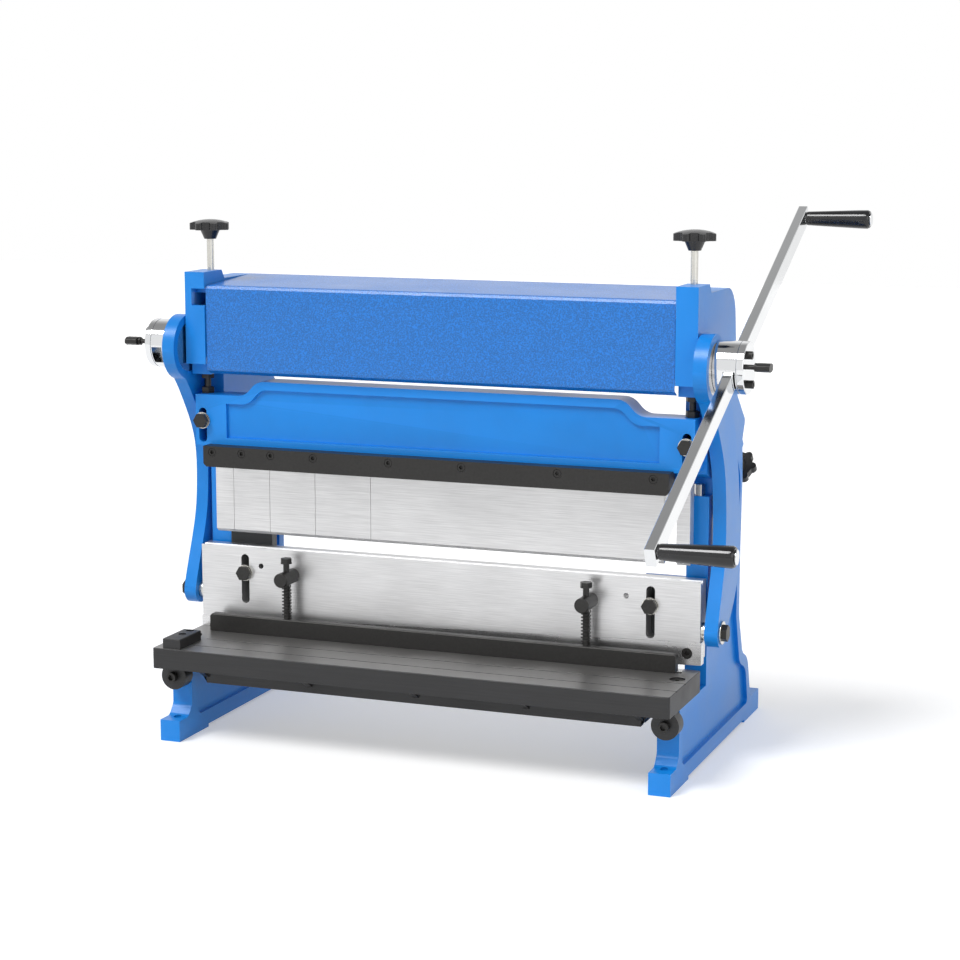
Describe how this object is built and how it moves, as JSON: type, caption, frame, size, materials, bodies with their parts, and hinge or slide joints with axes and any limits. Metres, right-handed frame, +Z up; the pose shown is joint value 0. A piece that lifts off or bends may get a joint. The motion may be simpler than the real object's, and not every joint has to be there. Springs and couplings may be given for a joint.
{
  "type": "shear, press brake and slip roll machine",
  "caption": "Hand-cranked bench machine that shears sheet metal on a table, folds it under brake fingers and rolls it between geared rolls behind a cover.",
  "frame": {"origin": "on the bench, midway between the four foot bolts", "axes": "+X along the machine to the operator's right, where the crank is; +Y to the rear; +Z up"},
  "size_m": [0.8792, 0.6822, 0.6601],
  "materials": {
    "frame_paint": "smooth gloss blue enamel over casting",
    "beam_paint": "smooth gloss blue enamel over casting",
    "cover_paint": "blue hammered enamel on sheet",
    "arm_paint": "smooth gloss blue enamel over casting",
    "table_iron": "dark ground face over painted casting",
    "guide_black": "black paint",
    "ram_steel": "milled and ground",
    "finger_steel": "ground",
    "blade_steel": "ground and hardened",
    "black_oxide": "black oxide",
    "zinc": "zinc plate",
    "bright_steel": "bright turned",
    "roll_steel": "ground roll",
    "chrome": "bright chrome",
    "bronze": "turned",
    "knob_plastic": "moulded",
    "grip_plastic": "moulded"
  },
  "bodies": {
    "stand": {"right_frame": "frame_paint", "left_frame": "frame_paint", "work_table": "table_iron", "lower_blade": "blade_steel", "side_gauge": "table_iron", "table_screws": "black_oxide", "ram_guide_blocks": "guide_black", "slot_bolts": "black_oxide", "ledge_bolts": "zinc", "lower_roll_bushes": "bronze", "roll_cover": "cover_paint", "cover_screws": "black_oxide"},
    "crank": {"lower_roll": "roll_steel", "lower_roll_gear": "bright_steel", "shaft_hubs": "chrome", "clutch_discs": "chrome", "hub_screws": "black_oxide", "crank_bar": "chrome", "grip_axles": "chrome"},
    "front_grip": {"lower_grip": "grip_plastic"},
    "rear_grip": {"upper_grip": "grip_plastic"},
    "right_clutch_screw": {"right_thumb_screw": "zinc"},
    "left_clutch_screw": {"left_thumb_screw": "zinc"},
    "upper_carriage": {"upper_bearing_blocks": "bright_steel"},
    "pinch_roll": {"upper_roll": "roll_steel", "upper_roll_gear": "bright_steel"},
    "right_pinch_screw": {"right_top_screw": "chrome", "right_top_knob": "knob_plastic"},
    "left_pinch_screw": {"left_top_screw": "chrome", "left_top_knob": "knob_plastic"},
    "rear_carriage": {"rear_bearing_blocks": "bright_steel"},
    "forming_roll": {"rear_roll": "roll_steel"},
    "right_forming_screw": {"right_rear_screw": "chrome", "right_rear_knob": "knob_plastic"},
    "left_forming_screw": {"left_rear_screw": "chrome", "left_rear_knob": "knob_plastic"},
    "eccentrics": {"eccentric_sheaves": "bright_steel"},
    "right_link": {"right_arm": "arm_paint"},
    "left_link": {"left_arm": "arm_paint"},
    "ram": {"ram_plate": "ram_steel", "upper_blade": "blade_steel", "upper_blade_screws": "black_oxide", "cross_studs": "black_oxide", "left_hold_down_spring": "black_oxide", "right_hold_down_spring": "black_oxide", "arm_pivot_pins": "black_oxide"},
    "hold_down": {"hold_down_bar": "black_oxide", "hold_down_rods": "black_oxide"},
    "beam": {"brake_beam": "beam_paint", "jack_lock_nuts": "black_oxide", "brake_finger_1": "finger_steel", "brake_finger_2": "finger_steel", "brake_finger_3": "finger_steel", "brake_finger_4": "finger_steel", "brake_finger_5": "finger_steel", "end_finger": "finger_steel", "finger_clamp_bar": "black_oxide", "finger_clamp_screws": "black_oxide"},
    "right_jack": {"right_jack_bolt": "black_oxide"},
    "left_jack": {"left_jack_bolt": "black_oxide"}
  },
  "joints": [
    {"name": "crank_turn", "type": "hinge", "parent": "stand", "child": "crank", "pos_m": [0, -0.096, 0.489], "axis": [1, 0, 0], "continuous": true},
    {"name": "front_grip_spin", "type": "hinge", "parent": "crank", "child": "front_grip", "pos_m": [0.3771, -0.42156, 0.33302], "axis": [1, 0, 0], "continuous": true},
    {"name": "rear_grip_spin", "type": "hinge", "parent": "crank", "child": "rear_grip", "pos_m": [0.3771, 0.22956, 0.64498], "axis": [1, 0, 0], "continuous": true},
    {"name": "right_clutch_screw_turn", "type": "hinge", "parent": "crank", "child": "right_clutch_screw", "pos_m": [0.3851, -0.11471, 0.4923], "axis": [1, 0, 0], "range_deg": [-180, 180]},
    {"name": "left_clutch_screw_turn", "type": "hinge", "parent": "crank", "child": "left_clutch_screw", "pos_m": [-0.3851, -0.11471, 0.4923], "axis": [-1, 0, 0], "range_deg": [-180, 180]},
    {"name": "upper_roll_lift", "type": "slide", "parent": "stand", "child": "upper_carriage", "axis": [0, 0, 1], "range_m": [0, 0.003]},
    {"name": "upper_roll_spin", "type": "hinge", "parent": "upper_carriage", "child": "pinch_roll", "pos_m": [0, -0.096, 0.5238], "axis": [1, 0, 0], "continuous": true},
    {"name": "right_top_knob_turn", "type": "hinge", "parent": "upper_carriage", "child": "right_pinch_screw", "pos_m": [0.316, -0.0805, 0.6], "axis": [0, 0, 1], "range_deg": [0, 725]},
    {"name": "left_top_knob_turn", "type": "hinge", "parent": "upper_carriage", "child": "left_pinch_screw", "pos_m": [-0.316, -0.0805, 0.6], "axis": [0, 0, 1], "range_deg": [0, 725]},
    {"name": "rear_roll_shift", "type": "slide", "parent": "stand", "child": "rear_carriage", "axis": [0, 0.7071, -0.7071], "range_m": [-0.018, 0.008]},
    {"name": "rear_roll_spin", "type": "hinge", "parent": "rear_carriage", "child": "forming_roll", "pos_m": [0, -0.033, 0.503], "axis": [1, 0, 0], "continuous": true},
    {"name": "right_rear_knob_turn", "type": "hinge", "parent": "rear_carriage", "child": "right_forming_screw", "pos_m": [0.316, -0.033, 0.503], "axis": [0, 0.7071, -0.7071], "range_deg": [-5190, 2310]},
    {"name": "left_rear_knob_turn", "type": "hinge", "parent": "rear_carriage", "child": "left_forming_screw", "pos_m": [-0.316, -0.033, 0.503], "axis": [0, 0.7071, -0.7071], "range_deg": [-5190, 2310]},
    {"name": "eccentric_turn", "type": "hinge", "parent": "stand", "child": "eccentrics", "pos_m": [0, -0.096, 0.489], "axis": [-1, 0, 0], "range_deg": [-26.3, 45]},
    {"name": "right_arm_swing", "type": "hinge", "parent": "eccentrics", "child": "right_link", "pos_m": [0, -0.10782, 0.48692], "axis": [-1, 0, 0], "range_deg": [-45.2, 26.5]},
    {"name": "left_arm_swing", "type": "hinge", "parent": "eccentrics", "child": "left_link", "pos_m": [0, -0.10782, 0.48692], "axis": [-1, 0, 0], "range_deg": [-45.2, 26.5]},
    {"name": "ram_stroke", "type": "slide", "parent": "stand", "child": "ram", "axis": [0, 0, 1], "range_m": [-0.0052, 0.0089]},
    {"name": "hold_down_slide", "type": "slide", "parent": "ram", "child": "hold_down", "axis": [0, 0, 1], "range_m": [-0.0089, 0.0052], "deforming": ["left_hold_down_spring", "right_hold_down_spring"]},
    {"name": "beam_height", "type": "slide", "parent": "stand", "child": "beam", "axis": [0, 0, 1], "range_m": [-0.008, 0]},
    {"name": "right_jack_turn", "type": "hinge", "parent": "stand", "child": "right_jack", "pos_m": [0.319, -0.0885, 0.44], "axis": [0, 0, 1], "range_deg": [0, 2310]},
    {"name": "left_jack_turn", "type": "hinge", "parent": "stand", "child": "left_jack", "pos_m": [-0.319, -0.0885, 0.44], "axis": [0, 0, 1], "range_deg": [0, 2310]}
  ],
  "couplings": [
    {"joint": "upper_roll_spin", "follows": "crank_turn", "ratio": -1},
    {"joint": "right_top_knob_turn", "follows": "upper_roll_lift", "rad_per_m": 4188.8},
    {"joint": "left_top_knob_turn", "follows": "upper_roll_lift", "rad_per_m": 4188.8},
    {"joint": "right_rear_knob_turn", "follows": "rear_roll_shift", "rad_per_m": 5026.5},
    {"joint": "left_rear_knob_turn", "follows": "rear_roll_shift", "rad_per_m": 5026.5},
    {"joint": "right_arm_swing", "follows": "eccentric_turn", "ratio": -1},
    {"joint": "left_arm_swing", "follows": "eccentric_turn", "ratio": -1},
    {"joint": "ram_stroke", "follows": "eccentric_turn", "m_per_rad": 0.01125},
    {"joint": "hold_down_slide", "follows": "eccentric_turn", "m_per_rad": -0.01125},
    {"joint": "right_jack_turn", "follows": "beam_height", "rad_per_m": -5026.5},
    {"joint": "left_jack_turn", "follows": "beam_height", "rad_per_m": -5026.5}
  ]
}
